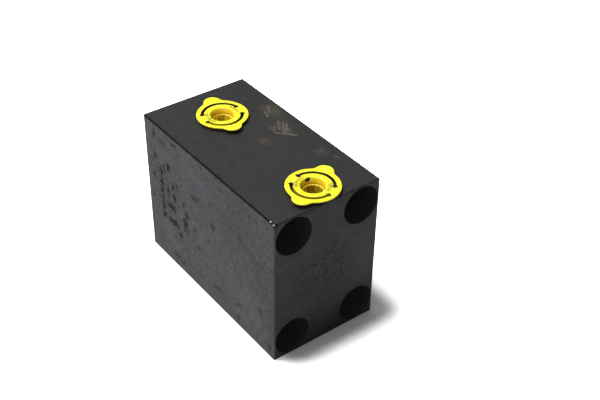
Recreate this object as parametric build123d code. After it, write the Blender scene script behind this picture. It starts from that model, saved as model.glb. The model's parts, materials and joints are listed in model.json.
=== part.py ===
from build123d import *
import math
import os

# Face-mounted double pilot-operated check valve in one rectangular steel block.
# Frame: origin at the centre of the flat mounting face. +Y leaves the block through
# that face, so the block runs from y = 0 back to y = -LENGTH, where the four screw
# heads sit in counterbores. +X is across the width and +Z is up, towards the ports.
# Depths are measured from the mounting face, so y = -depth. "Rear" parts lie nearer
# the mounting face, "front" parts nearer the far end. Millimetres and degrees.
# Name endings: _R radius, _D depth, _Z height, _W width, _L length, _T thickness.

# ---------------------------------------------------------------- shared sizes
WIDTH = 60.0
LENGTH = 111.0
HEIGHT = 82.0
TOP = HEIGHT / 2
SIDE = WIDTH / 2

REAR_PORT_D = 26.0
FRONT_PORT_D = 99.35

# main bore, blind, open at the mounting face, with an M24x1.5 thread for the end plug
BORE_R = 11.0
BORE_END_D = 105.5
THREAD_PITCH = 1.5
THREAD_FIRST_D = 2.2
THREAD_RINGS = 7

# stack in the main bore, mirrored about MID_D
MID_D = 61.0
GUIDE_FLOOR_D = 18.5
SEAT_FACE_D = 36.0
SEAT_END_D = 46.0
AXIAL_GAP = 0.02
LAND_CLEARANCE = 0.03
LAND_R = BORE_R - LAND_CLEARANCE
SKIRT_R = 9.4
LEAD = 0.3                    # small chamfer on turned edges

# seal grooves in the stack
GROOVE_R = 9.7
GROOVE_W = 3.6                # holds one O-ring and one backup ring
END_PLUG_GROOVE_D = 17.4
SEAT_GROOVE_D = 39.2
SLEEVE_GROOVE_HALF_W = 2.4    # holds one O-ring between two backup rings

# flow drillings from the mounting face, each met by a cross drilling from below
FLOW_X = 7.5
FLOW_Z = -20.0
FLOW_R = 3.25
FACE_RECESS_R = 6.4
FACE_RECESS_DEPTH = 1.35
V1_CROSS_D = 51.0
EXPANDER_R = 3.5


# ---------------------------------------------------------------- helpers
def turned(points):
    """Solid of revolution about the main bore: points are (depth, radius)."""
    outline = Polyline([(radius, -depth) for depth, radius in points], close=True)
    return revolve(make_face(outline), Axis.Y, 360)


def upright(points, x=0.0, y=0.0):
    """Solid of revolution about a vertical axis at x, y: points are (radius, z)."""
    outline = Polyline([(radius, 0, z) for radius, z in points], close=True)
    return Pos(x, y, 0) * revolve(make_face(outline), Axis.Z, 360)


def opposite(depth):
    """The depth on the other side of the middle of the stack."""
    return 2 * MID_D - depth


def mirrored(points):
    """The same (depth, radius) outline on the other side of the middle of the stack."""
    return [(opposite(depth), radius) for depth, radius in points]


def radial_holes(radius, depth, start_angle=45.0, count=4, reach=14.0):
    """Radial drillings through the wall of a sleeve, as one tool."""
    tool = None
    for i in range(count):
        turn = Rot(0, start_angle + 360.0 * i / count, 0)
        hole = Pos(0, -depth, 0) * turn * Pos(0, 0, reach / 2) * Cylinder(radius, reach)
        tool = hole if tool is None else tool + hole
    return tool


def save(node, shape):
    """Write the shape as parts/<node>.step, as a compound if it has several solids."""
    solids = shape.solids()
    out = solids[0] if len(solids) == 1 else Compound(children=list(solids))
    out.label = node
    export_step(out, os.path.join("parts", node + ".step"))


# name, x and cross drilling depth of each flow line
FLOW_LINES = (
    ("v1", -FLOW_X, V1_CROSS_D),
    ("v2", FLOW_X, opposite(V1_CROSS_D)),
)

# ---------------------------------------------------------------- block
EDGE_BREAK = 0.5
HOLE_BREAK = 0.4
OVERSHOOT = 1.0               # how far cutting tools stand out of the block
BORE_REACH_Z = 4.0            # vertical drillings end this far off the bore axis

# mounting screws M12: four through holes, counterbored at the far end
SCREW_PITCH_X = 38.5
SCREW_PITCH_Z = 60.5
SCREW_HOLE_R = 6.75
COUNTERBORE_R = 10.0
COUNTERBORE_DEPTH = 14.0
COUNTERBORE_BREAK = 0.15

# service ports G1/4 in the top face
PORT_MAJOR_R = 6.5785
PORT_MINOR_R = 5.7225
PORT_PITCH = 1.337
PORT_FIRST_RING = 2.1         # below the top face
PORT_RINGS = 8
PORT_DEPTH = 14.5
PORT_DRILL_R = 4.5
PORT_DRILL_SLOPE = 0.577      # drop per radius of the cone down to the drilling
PORT_MOUTH_R = 6.95

# main bore thread and the undercut behind it
THREAD_MAJOR_R = 12.0
THREAD_MINOR_R = 11.19
THREAD_MOUTH_R = 12.5
UNDERCUT_START_D = 13.0
UNDERCUT_END_D = 15.0
UNDERCUT_R = 12.15

FLOW_OVERRUN = 4.0            # drilled past the cross drilling
FLOW_TIP_ANGLE = 31.0
CROSS_R = 3.25
EXPANDER_POCKET_DEPTH = 7.2

# strokes stamped in the -X side: depth, start and end below the top, step
MARK_ROWS = (
    (13.0, 26.0, 57.0, 3.1),
    (20.2, 33.0, 57.0, 2.9),
    (25.2, 33.0, 50.0, 2.9),
)
MARK_LONG = 2.2
MARK_SHORT = 1.3              # every third stroke
MARK_W = 0.5
MARK_BOX_X = 0.36             # half of it lies inside the block


def thread_groove(centre, minor_r, major_r, pitch, half_angle):
    """(distance, radius) points of a V groove ring standing for one thread turn."""
    run = (major_r - minor_r) * math.tan(math.radians(half_angle))
    flat = (pitch - 2 * run) / 4
    return [(centre - flat - run, minor_r), (centre - flat, major_r),
            (centre + flat, major_r), (centre + flat + run, minor_r)]


def main_bore_tool():
    outline = [(-OVERSHOOT, 0.0), (-OVERSHOOT, THREAD_MOUTH_R + OVERSHOOT),
               (0.0, THREAD_MOUTH_R), (THREAD_MOUTH_R - THREAD_MINOR_R, THREAD_MINOR_R)]
    for i in range(THREAD_RINGS):
        outline += thread_groove(THREAD_FIRST_D + THREAD_PITCH * i,
                                 THREAD_MINOR_R, THREAD_MAJOR_R, THREAD_PITCH, 30.0)
    outline += [(UNDERCUT_START_D, THREAD_MINOR_R), (UNDERCUT_START_D + 0.5, UNDERCUT_R),
                (UNDERCUT_END_D, UNDERCUT_R),
                (UNDERCUT_END_D + (UNDERCUT_R - BORE_R), BORE_R),
                (BORE_END_D - LEAD, BORE_R), (BORE_END_D, BORE_R - LEAD), (BORE_END_D, 0.0)]
    return turned(outline)


def port_tool(depth):
    outline = [(0.0, TOP + OVERSHOOT), (PORT_MOUTH_R + OVERSHOOT, TOP + OVERSHOOT),
               (PORT_MOUTH_R, TOP), (PORT_MINOR_R, TOP - (PORT_MOUTH_R - PORT_MINOR_R))]
    for i in range(PORT_RINGS):
        groove = thread_groove(PORT_FIRST_RING + PORT_PITCH * i,
                               PORT_MINOR_R, PORT_MAJOR_R, PORT_PITCH, 27.5)
        outline += [(radius, TOP - drop) for drop, radius in groove]
    floor = TOP - PORT_DEPTH
    cone = (PORT_MINOR_R - PORT_DRILL_R) * PORT_DRILL_SLOPE
    outline += [(PORT_MINOR_R, floor), (PORT_DRILL_R, floor - cone),
                (PORT_DRILL_R, BORE_REACH_Z), (0.0, BORE_REACH_Z)]
    return upright(outline, y=-depth)


def screw_tool(x, z):
    floor = LENGTH - COUNTERBORE_DEPTH
    mouth_r = COUNTERBORE_R + COUNTERBORE_BREAK
    return Pos(x, 0, z) * turned([
        (-OVERSHOOT, 0), (-OVERSHOOT, SCREW_HOLE_R + HOLE_BREAK + OVERSHOOT),
        (HOLE_BREAK, SCREW_HOLE_R), (floor, SCREW_HOLE_R), (floor, COUNTERBORE_R),
        (LENGTH - COUNTERBORE_BREAK, COUNTERBORE_R), (LENGTH, mouth_r),
        (LENGTH + OVERSHOOT, mouth_r), (LENGTH + OVERSHOOT, 0)])


def flow_tool(x, cross_d):
    """Drilling from the mounting face, with a recess for its face seal."""
    end = cross_d + FLOW_OVERRUN
    tip = FLOW_R * math.tan(math.radians(FLOW_TIP_ANGLE))
    return Pos(x, 0, FLOW_Z) * turned([
        (-OVERSHOOT, 0), (-OVERSHOOT, FACE_RECESS_R), (FACE_RECESS_DEPTH, FACE_RECESS_R),
        (FACE_RECESS_DEPTH, FLOW_R), (end, FLOW_R), (end + tip, 0)])


def cross_tool(x, depth):
    """Drilling from the bottom face up to the bore, widened below for its expander."""
    bottom = -TOP
    step = bottom + EXPANDER_POCKET_DEPTH
    return upright([
        (0.0, bottom - OVERSHOOT), (EXPANDER_R + HOLE_BREAK + OVERSHOOT, bottom - OVERSHOOT),
        (EXPANDER_R, bottom + HOLE_BREAK), (EXPANDER_R, step), (CROSS_R, step + 0.3),
        (CROSS_R, -BORE_REACH_Z), (0.0, -BORE_REACH_Z)], x, -depth)


def stamped_marks():
    """Rows of plain strokes stamped in the -X side."""
    tools = []
    for depth, start, end, step in MARK_ROWS:
        for i in range(int((end - start) / step)):
            drop = start + step * (i + 0.5)
            length = MARK_LONG if i % 3 else MARK_SHORT
            tools.append(Pos(-SIDE, -depth, TOP - drop) * Box(MARK_BOX_X, length, MARK_W))
    return tools


def make_body():
    body = Pos(0, -LENGTH / 2, 0) * Box(WIDTH, LENGTH, HEIGHT)
    body = chamfer(body.edges(), EDGE_BREAK)
    cuts = [main_bore_tool(), port_tool(REAR_PORT_D), port_tool(FRONT_PORT_D)]
    cuts += [flow_tool(x, depth) for _, x, depth in FLOW_LINES]
    cuts += [cross_tool(x, depth) for _, x, depth in FLOW_LINES]
    for side_x in (-1, 1):
        for side_z in (-1, 1):
            cuts.append(screw_tool(side_x * SCREW_PITCH_X / 2, side_z * SCREW_PITCH_Z / 2))
    cuts += stamped_marks()
    for cut in cuts:
        body = body - cut
    return body


# ---------------------------------------------------------------- end plug, cage and seats
GUIDE_R = 6.53
WINDOW_R = 2.75
WINDOW_D = 32.5
SKIRT_START_D = 22.0
SEAT_R = 4.75
SEAT_BAND_R = 5.2             # outer edge of the 45 degree seat chamfer

# end plug thread ridges and hexagon socket
PLUG_THREAD_ROOT_R = 11.12
PLUG_THREAD_CREST_R = 11.95
ROOT_HALF_W = 0.568
CREST_HALF_W = 0.089
PLUG_FACE_D = 0.5
HEX_ACROSS_FLATS = 12.0
HEX_DEPTH = 8.5

# inside of the rear poppet guide, from its floor out to the skirt's end: (depth, radius)
SKIRT_END_D = SEAT_FACE_D - AXIAL_GAP
GUIDE_OUTLINE = [(GUIDE_FLOOR_D, 0.0), (GUIDE_FLOOR_D, GUIDE_R),
                 (SKIRT_END_D - LEAD, GUIDE_R), (SKIRT_END_D, GUIDE_R + LEAD),
                 (SKIRT_END_D, SKIRT_R)]

# rear seat: (depth, radius)
SEAT_BACK_D = SEAT_END_D - AXIAL_GAP
SEAT_OUTLINE = [
    (SEAT_FACE_D, SEAT_BAND_R), (SEAT_FACE_D, LAND_R - LEAD), (SEAT_FACE_D + LEAD, LAND_R),
    (SEAT_GROOVE_D, LAND_R), (SEAT_GROOVE_D, GROOVE_R),
    (SEAT_GROOVE_D + GROOVE_W, GROOVE_R), (SEAT_GROOVE_D + GROOVE_W, LAND_R),
    (SEAT_BACK_D - LEAD, LAND_R), (SEAT_BACK_D, LAND_R - LEAD),
    (SEAT_BACK_D, SEAT_R + 0.5), (SEAT_BACK_D - 0.5, SEAT_R),
    (SEAT_FACE_D + SEAT_BAND_R - SEAT_R, SEAT_R)]


def make_end_plug():
    """Threaded plug whose skirt guides the rear poppet."""
    outline = [(PLUG_FACE_D, 0.0), (PLUG_FACE_D, 11.0), (0.9, PLUG_THREAD_ROOT_R)]
    for i in range(THREAD_RINGS):
        depth = THREAD_FIRST_D + THREAD_PITCH * i
        outline += [(depth - ROOT_HALF_W, PLUG_THREAD_ROOT_R),
                    (depth - CREST_HALF_W, PLUG_THREAD_CREST_R),
                    (depth + CREST_HALF_W, PLUG_THREAD_CREST_R),
                    (depth + ROOT_HALF_W, PLUG_THREAD_ROOT_R)]
    outline += [(12.6, PLUG_THREAD_ROOT_R), (13.2, 10.6), (15.9, 10.6), (16.3, LAND_R),
                (END_PLUG_GROOVE_D, LAND_R), (END_PLUG_GROOVE_D, GROOVE_R),
                (END_PLUG_GROOVE_D + GROOVE_W, GROOVE_R),
                (END_PLUG_GROOVE_D + GROOVE_W, LAND_R),
                (SKIRT_START_D, LAND_R), (SKIRT_START_D, SKIRT_R)]
    plug = turned(outline + GUIDE_OUTLINE[::-1])
    hexagon = RegularPolygon(HEX_ACROSS_FLATS / 2, 6, major_radius=False)
    plug = plug - Pos(0, -PLUG_FACE_D, 0) * Rot(90, 0, 0) * extrude(hexagon, HEX_DEPTH)
    # conical lead into the socket
    plug = plug - turned([(0.3, 0.0), (0.3, 7.3), (1.3, 6.3), (1.3, 0.0)])
    return plug - radial_holes(WINDOW_R, WINDOW_D)


def make_front_cage():
    """Cage at the blind end of the bore that guides the front poppet."""
    end = BORE_END_D - AXIAL_GAP
    base_start = 104.0
    base = [(base_start, SKIRT_R), (base_start, LAND_R),
            (end - 0.4, LAND_R), (end, LAND_R - 0.4), (end, 0.0)]
    cage = turned(mirrored(GUIDE_OUTLINE) + base)
    return cage - radial_holes(WINDOW_R, opposite(WINDOW_D))


# ---------------------------------------------------------------- poppets, piston, springs
POPPET_R = 6.5
POPPET_BACK_D = 24.5
POPPET_TIP_R = 1.6
POPPET_POCKET_R = 4.0
POPPET_POCKET_D = 31.0
POPPET_VENT_R = 1.5
POPPET_VENT_END_D = 34.0
POPPET_CROSS_R = 1.0
POPPET_CROSS_L = 16.0
POPPET_CROSS_D = 33.3
CONE_GAP = 0.02               # between cone and seat, square to the cone

CONE_END_D = SEAT_FACE_D + SEAT_BAND_R - CONE_GAP * math.sqrt(2.0)
# the cone is at 45 degrees, so its depth falls by its radius
POPPET_TIP_D = CONE_END_D - POPPET_TIP_R

# rear poppet: (depth, radius)
POPPET_OUTLINE = [
    (POPPET_BACK_D, POPPET_POCKET_R + 0.4), (POPPET_BACK_D, POPPET_R - 0.4),
    (POPPET_BACK_D + 0.4, POPPET_R), (CONE_END_D - POPPET_R, POPPET_R),
    (POPPET_TIP_D, POPPET_TIP_R), (POPPET_TIP_D, 0.0),
    (POPPET_VENT_END_D + 0.8, 0.0), (POPPET_VENT_END_D, POPPET_VENT_R),
    (POPPET_POCKET_D, POPPET_VENT_R), (POPPET_POCKET_D, POPPET_POCKET_R),
    (POPPET_BACK_D + 0.4, POPPET_POCKET_R)]

SPRING_MEAN_R = 3.2
SPRING_WIRE_R = 0.5
SPRING_TURNS = 5.5
SPRING_END_GAP = 0.03

PISTON_R = 8.0
PISTON_START_D = MID_D - 4.5
PISTON_NOSE_R = 2.5
PISTON_NOSE_FLARE = 1.2
PISTON_GROOVE_PITCH = 2.4
PISTON_GROOVE = 0.3           # depth and half width
NOSE_GAP = 0.05

SLEEVE_BORE_R = 8.03
SLEEVE_LAND_START_D = MID_D - 5.0
SLEEVE_HOLE_R = 3.0


def make_poppet(outline, cross_d):
    """Cone poppet with a vertical cross drilling."""
    return turned(outline) - Pos(0, -cross_d, 0) * Cylinder(POPPET_CROSS_R, POPPET_CROSS_L)


def make_spring(start, end):
    """Compression spring standing between two depths."""
    start, end = start + SPRING_END_GAP, end - SPRING_END_GAP
    pitch = (end - start - 2 * SPRING_WIRE_R) / SPRING_TURNS
    path = Helix(pitch=pitch, height=pitch * SPRING_TURNS, radius=SPRING_MEAN_R)
    wire = Plane(origin=path @ 0, z_dir=path % 0) * Circle(SPRING_WIRE_R)
    coil = sweep(wire, path=path, is_frenet=True)
    return Pos(0, -start - SPRING_WIRE_R, 0) * Rot(90, 0, 0) * coil


def make_piston():
    """Double-nosed pilot piston with three shallow grooves."""
    start = POPPET_TIP_D + NOSE_GAP
    nose = [(start, 0.0), (start, PISTON_NOSE_R - 0.4), (start + 0.4, PISTON_NOSE_R),
            (PISTON_START_D - PISTON_NOSE_FLARE, PISTON_NOSE_R),
            (PISTON_START_D, PISTON_NOSE_R + PISTON_NOSE_FLARE),
            (PISTON_START_D, PISTON_R - LEAD), (PISTON_START_D + LEAD, PISTON_R)]
    grooves = []
    floor_r = PISTON_R - PISTON_GROOVE
    for i in (-1, 0, 1):
        centre = MID_D + i * PISTON_GROOVE_PITCH
        near, far = centre - PISTON_GROOVE, centre + PISTON_GROOVE
        grooves += [(near, PISTON_R), (near, floor_r), (far, floor_r), (far, PISTON_R)]
    return turned(nose + grooves + mirrored(nose[::-1]))


def make_sleeve():
    """Sleeve around the piston, with radial holes at both cross drillings."""
    groove_d = MID_D - SLEEVE_GROOVE_HALF_W
    half = [(SEAT_END_D + LEAD, SLEEVE_BORE_R), (SEAT_END_D, SLEEVE_BORE_R + LEAD),
            (SEAT_END_D, SKIRT_R), (SLEEVE_LAND_START_D, SKIRT_R),
            (SLEEVE_LAND_START_D, LAND_R), (groove_d, LAND_R), (groove_d, GROOVE_R)]
    sleeve = turned(half + mirrored(half[::-1]))
    for _, _, depth in FLOW_LINES:
        sleeve = sleeve - radial_holes(SLEEVE_HOLE_R, depth, start_angle=0.0)
    return sleeve


# ---------------------------------------------------------------- seals and expanders
RING_GAP = 0.05               # beside each ring in its groove
RING_INNER_R = GROOVE_R + 0.02
ORING_H = 1.26                # squeezed radial height
ORING_W = 2.23
BACKUP_W = 1.2
BACKUP_INSET = 0.01
BACKUP_CHAMFER = 0.12

FACE_RING_MEAN_R = 5.48
FACE_RING_R = 0.87
FACE_RING_GAP = 0.02

EXPANDER_BOTTOM_Z = -TOP + 0.5
EXPANDER_L = 6.6
EXPANDER_BALL_R = 2.55
EXPANDER_BALL_RISE = 2.75     # ball centre above the shell's bottom


def o_ring(start):
    """Round-section ring squeezed flat between the groove floor and the bore."""
    with BuildPart() as ring:
        with BuildSketch(Plane.XY):
            with Locations((RING_INNER_R + ORING_H / 2, -(start + ORING_W / 2))):
                SlotOverall(ORING_W, ORING_H, rotation=90)
        revolve(axis=Axis.Y, revolution_arc=360)
    return ring.part


def backup_ring(start):
    """Flat ring with its outer edges chamfered."""
    end = start + BACKUP_W
    inner_r = RING_INNER_R + BACKUP_INSET
    outer_r = RING_INNER_R + ORING_H - BACKUP_INSET
    return turned([(start, inner_r), (end, inner_r), (end, outer_r - BACKUP_CHAMFER),
                   (end - BACKUP_CHAMFER, outer_r), (start + BACKUP_CHAMFER, outer_r),
                   (start, outer_r - BACKUP_CHAMFER)])


def ring_pair(groove_d, backup_first):
    """O-ring and backup ring side by side in the groove that starts at groove_d."""
    first = groove_d + RING_GAP
    if backup_first:
        return o_ring(first + BACKUP_W + RING_GAP), backup_ring(first)
    return o_ring(first), backup_ring(first + ORING_W + RING_GAP)


def face_ring(x):
    y = -FACE_RECESS_DEPTH + FACE_RING_R + FACE_RING_GAP
    return Pos(x, y, FLOW_Z) * Rot(90, 0, 0) * Torus(FACE_RING_MEAN_R, FACE_RING_R)


def expander_shell(x, depth):
    """Cup open downwards, with four shallow grooves round it."""
    bottom = EXPANDER_BOTTOM_Z
    outer_r = EXPANDER_R - 0.01
    inner_r = EXPANDER_BALL_R + 0.01
    outline = [(inner_r, bottom), (outer_r - 0.3, bottom), (outer_r, bottom + 0.3)]
    for i in range(4):
        z = bottom + 1.6 + 0.9 * i
        outline += [(outer_r, z), (outer_r - 0.15, z + 0.2),
                    (outer_r - 0.15, z + 0.45), (outer_r, z + 0.65)]
    outline += [(outer_r, bottom + EXPANDER_L - 0.4), (outer_r - 0.4, bottom + EXPANDER_L),
                (0.0, bottom + EXPANDER_L), (0.0, bottom + 5.6), (inner_r, bottom + 5.4)]
    return upright(outline, x, -depth)


def expander_ball(x, depth):
    return Pos(x, -depth, EXPANDER_BOTTOM_Z + EXPANDER_BALL_RISE) * Sphere(EXPANDER_BALL_R)


# ---------------------------------------------------------------- port transit plugs
PLUG_RISE = 2.1
PLUG_TOP_Z = TOP + PLUG_RISE
RING_R = 12.95
RING_T = 0.65
RING_UNDER_Z = PLUG_TOP_Z - RING_T
LIP_Z = PLUG_TOP_Z - 0.3      # underside of the thin lip along the slots
EAR_R = 4.7
EAR_CENTRE_R = 11.7
EAR_FILLET = 3.5
REAR_EAR_ANGLE = 80.5
FRONT_EAR_ANGLE = 27.5
BOTH_EARS = (0.0, 180.0)

HUB_R = 9.25
STEM_L = 10.0
NECK_R = 5.64
ROOT_R = 5.3
FIN_R = 5.66
FIN_COUNT = 4
FIN_PITCH = 1.75

SLOT_R = 9.85
SLOT_W = 1.5
SLOT_HALF_ANGLE = 69.5
SLOT_BAR_L = 2.6
SLOT_BAR_W = 1.15

HOLE_R = 5.95
HOLE_RIM_R = 0.7
LEDGE_Z = TOP - 1.3
CUP_R = 4.8
CUP_FLOOR_Z = TOP - 8.2
CUP_RIBS = 14
CUP_RIB_R = 0.28

TICK_RUNS = ((63.0, 9), (-96.0, 6))    # first angle, count
TICK_STEP = 7.5
TICK_CENTRE_R = 7.7
TICK_LONG = 1.25
TICK_SHORT = 0.8              # every third tick
TICK_W = 0.42
TICK_BOX_H = 0.34             # half of it stands above the plug


def pull_ring():
    """Thin disc with two ears, hollowed underneath towards the slots."""
    with BuildSketch(Plane.XY.offset(RING_UNDER_Z)) as disc:
        Circle(RING_R)
        for angle in BOTH_EARS:
            with PolarLocations(EAR_CENTRE_R, 1, angle):
                Circle(EAR_R)
        fillet(disc.vertices(), EAR_FILLET)
    ring = extrude(disc.sketch, RING_T)
    top_edges = ring.edges().filter_by(lambda e: e.center().Z > PLUG_TOP_Z - 1e-3)
    ring = fillet(top_edges, 0.28)
    under_edges = ring.edges().filter_by(lambda e: e.center().Z < RING_UNDER_Z + 1e-3)
    ring = fillet(under_edges, 0.2)
    return ring - upright([
        (0.0, RING_UNDER_Z - 1.0), (RING_R - 0.9, RING_UNDER_Z - 1.0),
        (RING_R - 0.9, RING_UNDER_Z), (SLOT_R + SLOT_W / 2 + 0.5, LIP_Z), (0.0, LIP_Z)])


def hub_and_stem():
    """Hub above the block and finned stem in the port, still without their hole."""
    outline = [(0.0, LIP_Z + 0.1), (HUB_R, LIP_Z + 0.1), (HUB_R, TOP + 0.25),
               (HUB_R - 0.25, TOP), (NECK_R + 0.3, TOP), (NECK_R, TOP - 0.3),
               (NECK_R, TOP - 1.1), (ROOT_R, TOP - 1.5)]
    for i in range(FIN_COUNT):
        z = TOP - 2.5 - FIN_PITCH * i
        outline += [(ROOT_R, z + 0.45), (FIN_R, z), (FIN_R, z - 0.15), (ROOT_R, z - 0.75)]
    end = TOP - STEM_L
    return upright(outline + [(ROOT_R, end + 0.7), (ROOT_R - 0.7, end), (0.0, end)])


def centre_hole():
    """Tool with a rounded rim and a tapered wall down to the ledge."""
    outline = [(0.0, TOP + 4.0), (HOLE_R + HOLE_RIM_R, TOP + 4.0)]
    for degrees in range(0, 91, 15):
        angle = math.radians(degrees)
        outline.append((HOLE_R + HOLE_RIM_R - HOLE_RIM_R * math.sin(angle),
                        PLUG_TOP_Z - HOLE_RIM_R + HOLE_RIM_R * math.cos(angle)))
    outline += [(HOLE_R - 0.2, TOP + 1.0), (CUP_R + 0.42, TOP - 0.2),
                (CUP_R + 0.32, LEDGE_Z + 0.12), (CUP_R + 0.20, LEDGE_Z), (0.0, LEDGE_Z)]
    return upright(outline)


def ribbed_cup():
    """Tool for the blind cup below the ledge, which leaves small ribs on its wall."""
    with BuildSketch(Plane.XY.offset(CUP_FLOOR_Z)) as cup:
        Circle(CUP_R)
        with PolarLocations(CUP_R, CUP_RIBS):
            Circle(CUP_RIB_R, mode=Mode.SUBTRACT)
    return extrude(cup.sketch, LEDGE_Z - CUP_FLOOR_Z + 0.2)


def arc_slot(angle):
    """Tool for an arc slot with cross-bar ends, centred on an ear."""
    with BuildSketch(Plane.XY.offset(TOP - 0.5)) as slot:
        with BuildLine():
            CenterArc((0, 0), SLOT_R, angle - SLOT_HALF_ANGLE, 2 * SLOT_HALF_ANGLE)
            offset(amount=SLOT_W / 2)
        make_face()
        for side in (-1, 1):
            with PolarLocations(SLOT_R, 1, angle + side * SLOT_HALF_ANGLE):
                RectangleRounded(SLOT_BAR_L, SLOT_BAR_W, 0.4)
    return extrude(slot.sketch, PLUG_RISE + 1.0)


def make_port_plug(depth, ear_angle):
    """Push-in plug: hollow stem and hub in a thin pull-off ring, parted by two slots."""
    plug = pull_ring() + hub_and_stem()
    for first_angle, count in TICK_RUNS:
        for i in range(count):
            turn = Rot(0, 0, first_angle + TICK_STEP * i)
            length = TICK_LONG if i % 3 else TICK_SHORT
            tick = Box(length, TICK_W, TICK_BOX_H)
            plug = plug + turn * Pos(TICK_CENTRE_R, 0, PLUG_TOP_Z) * tick
    plug = plug - centre_hole()
    plug = plug - ribbed_cup()
    # small cone on the cup floor
    plug = plug + Pos(0, 0, CUP_FLOOR_Z + 0.1) * Cone(0.9, 0.5, 0.8)
    for angle in BOTH_EARS:
        plug = plug - arc_slot(angle)
    return Pos(0, -depth, 0) * Rot(0, 0, ear_angle) * plug


# ---------------------------------------------------------------- write the pieces
os.makedirs("parts", exist_ok=True)

save("valve_body", make_body())
save("rear_port_plug", make_port_plug(REAR_PORT_D, REAR_EAR_ANGLE))
save("front_port_plug", make_port_plug(FRONT_PORT_D, FRONT_EAR_ANGLE))

save("end_plug", make_end_plug())
save("front_poppet_cage", make_front_cage())
save("rear_seat", turned(SEAT_OUTLINE))
save("front_seat", turned(mirrored(SEAT_OUTLINE)))

# piece, groove start, whether the backup ring comes first
for piece, groove_start, backup_leads in (
        ("end_plug", END_PLUG_GROOVE_D, True),
        ("rear_seat", SEAT_GROOVE_D, False),
        ("front_seat", opposite(SEAT_GROOVE_D + GROOVE_W), True)):
    seal, backup = ring_pair(groove_start, backup_leads)
    save(piece + "_o_ring", seal)
    save(piece + "_backup_ring", backup)

save("pilot_sleeve", make_sleeve())
save("pilot_sleeve_o_ring", o_ring(MID_D - ORING_W / 2))
backup_offset = ORING_W / 2 + RING_GAP
save("pilot_sleeve_backup_rings",
     backup_ring(MID_D - backup_offset - BACKUP_W) + backup_ring(MID_D + backup_offset))
save("pilot_piston", make_piston())

save("rear_check_poppet", make_poppet(POPPET_OUTLINE, POPPET_CROSS_D))
save("front_check_poppet", make_poppet(mirrored(POPPET_OUTLINE), opposite(POPPET_CROSS_D)))
save("rear_check_spring", make_spring(GUIDE_FLOOR_D, POPPET_POCKET_D))
save("front_check_spring", make_spring(opposite(POPPET_POCKET_D), opposite(GUIDE_FLOOR_D)))

for line, line_x, cross_depth in FLOW_LINES:
    save(line + "_face_o_ring", face_ring(line_x))
    save(line + "_expander_shell", expander_shell(line_x, cross_depth))
    save(line + "_expander_ball", expander_ball(line_x, cross_depth))
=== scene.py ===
"""A steel check-valve block with a yellow transit plug in each of its two ports.

The block is centred on x and z. Its rear face is at y = 0 and its front face at -LENGTH; the left
side is at -x and the top at +z. Both plugs are pressed in from above. Objects are in metres;
meshes are worked, and materials written, in millimetres unless a name ends in _M.
"""

import json
import math
import random
from functools import reduce
from types import SimpleNamespace

import bmesh
import bpy
import numpy as np
from mathutils import Matrix, Vector


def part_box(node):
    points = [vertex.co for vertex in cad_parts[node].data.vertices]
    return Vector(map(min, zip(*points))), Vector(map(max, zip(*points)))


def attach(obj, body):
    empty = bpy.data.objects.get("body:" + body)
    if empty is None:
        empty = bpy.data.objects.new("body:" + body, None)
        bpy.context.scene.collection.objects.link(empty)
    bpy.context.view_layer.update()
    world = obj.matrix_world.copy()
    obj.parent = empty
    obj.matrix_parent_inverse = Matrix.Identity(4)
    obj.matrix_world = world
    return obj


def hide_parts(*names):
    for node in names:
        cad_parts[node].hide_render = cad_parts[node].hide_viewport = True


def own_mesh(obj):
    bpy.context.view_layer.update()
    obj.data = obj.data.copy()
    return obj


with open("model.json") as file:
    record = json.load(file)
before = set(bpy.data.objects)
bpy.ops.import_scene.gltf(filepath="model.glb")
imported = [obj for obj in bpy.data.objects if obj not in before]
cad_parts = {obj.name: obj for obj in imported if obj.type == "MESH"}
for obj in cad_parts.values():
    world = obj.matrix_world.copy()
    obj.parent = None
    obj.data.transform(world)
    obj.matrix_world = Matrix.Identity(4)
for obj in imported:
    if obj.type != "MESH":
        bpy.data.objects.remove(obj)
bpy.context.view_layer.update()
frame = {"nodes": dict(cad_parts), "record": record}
nodes = frame["nodes"]
scene = bpy.context.scene

# ---------------------------------------------------------------- places
MM = 1000.0                                           # millimetres in a metre
BLOCK_LO_M, BLOCK_HI_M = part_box("valve_body")
HALF_X = BLOCK_HI_M.x * MM
HALF_Z = BLOCK_HI_M.z * MM
LENGTH = -BLOCK_LO_M.y * MM
MOUNTS = {mount["name"]: mount for mount in frame["record"]["mounts"]}
REAR_PORT_M = Vector(MOUNTS["c1_port"]["pos_m"])      # mouths of the two ports
FRONT_PORT_M = Vector(MOUNTS["c2_port"]["pos_m"])
SCREW_X, SCREW_Z = [MOUNTS["mounting_screws"]["dims"][key] / 2.0
                    for key in ("spacing_x_mm", "spacing_y_mm")]

# Plugs: angles about the port's axis
REAR_EAR = math.radians(80.5)                         # direction of the ears
FRONT_EAR = math.radians(27.5)
TICKS = ((63.0, 125.0), (-96.0, -55.0))               # runs of ticks, degrees from the ear axis
TICK_STEP = 7.5                                       # degrees
SLOT_RADIUS = 9.85                                    # arc slots
SLOT_HALF = 69.5                                      # half their angle, degrees

# Nicks at the near top corner: centre, half sizes
NICKS = [((-HALF_X + 0.55, -LENGTH + 3.3, HALF_Z), (0.50, 0.62, 0.5)),
         ((-HALF_X + 0.35, -LENGTH + 0.9, HALF_Z - 0.25), (0.40, 0.75, 0.40))]


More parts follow.
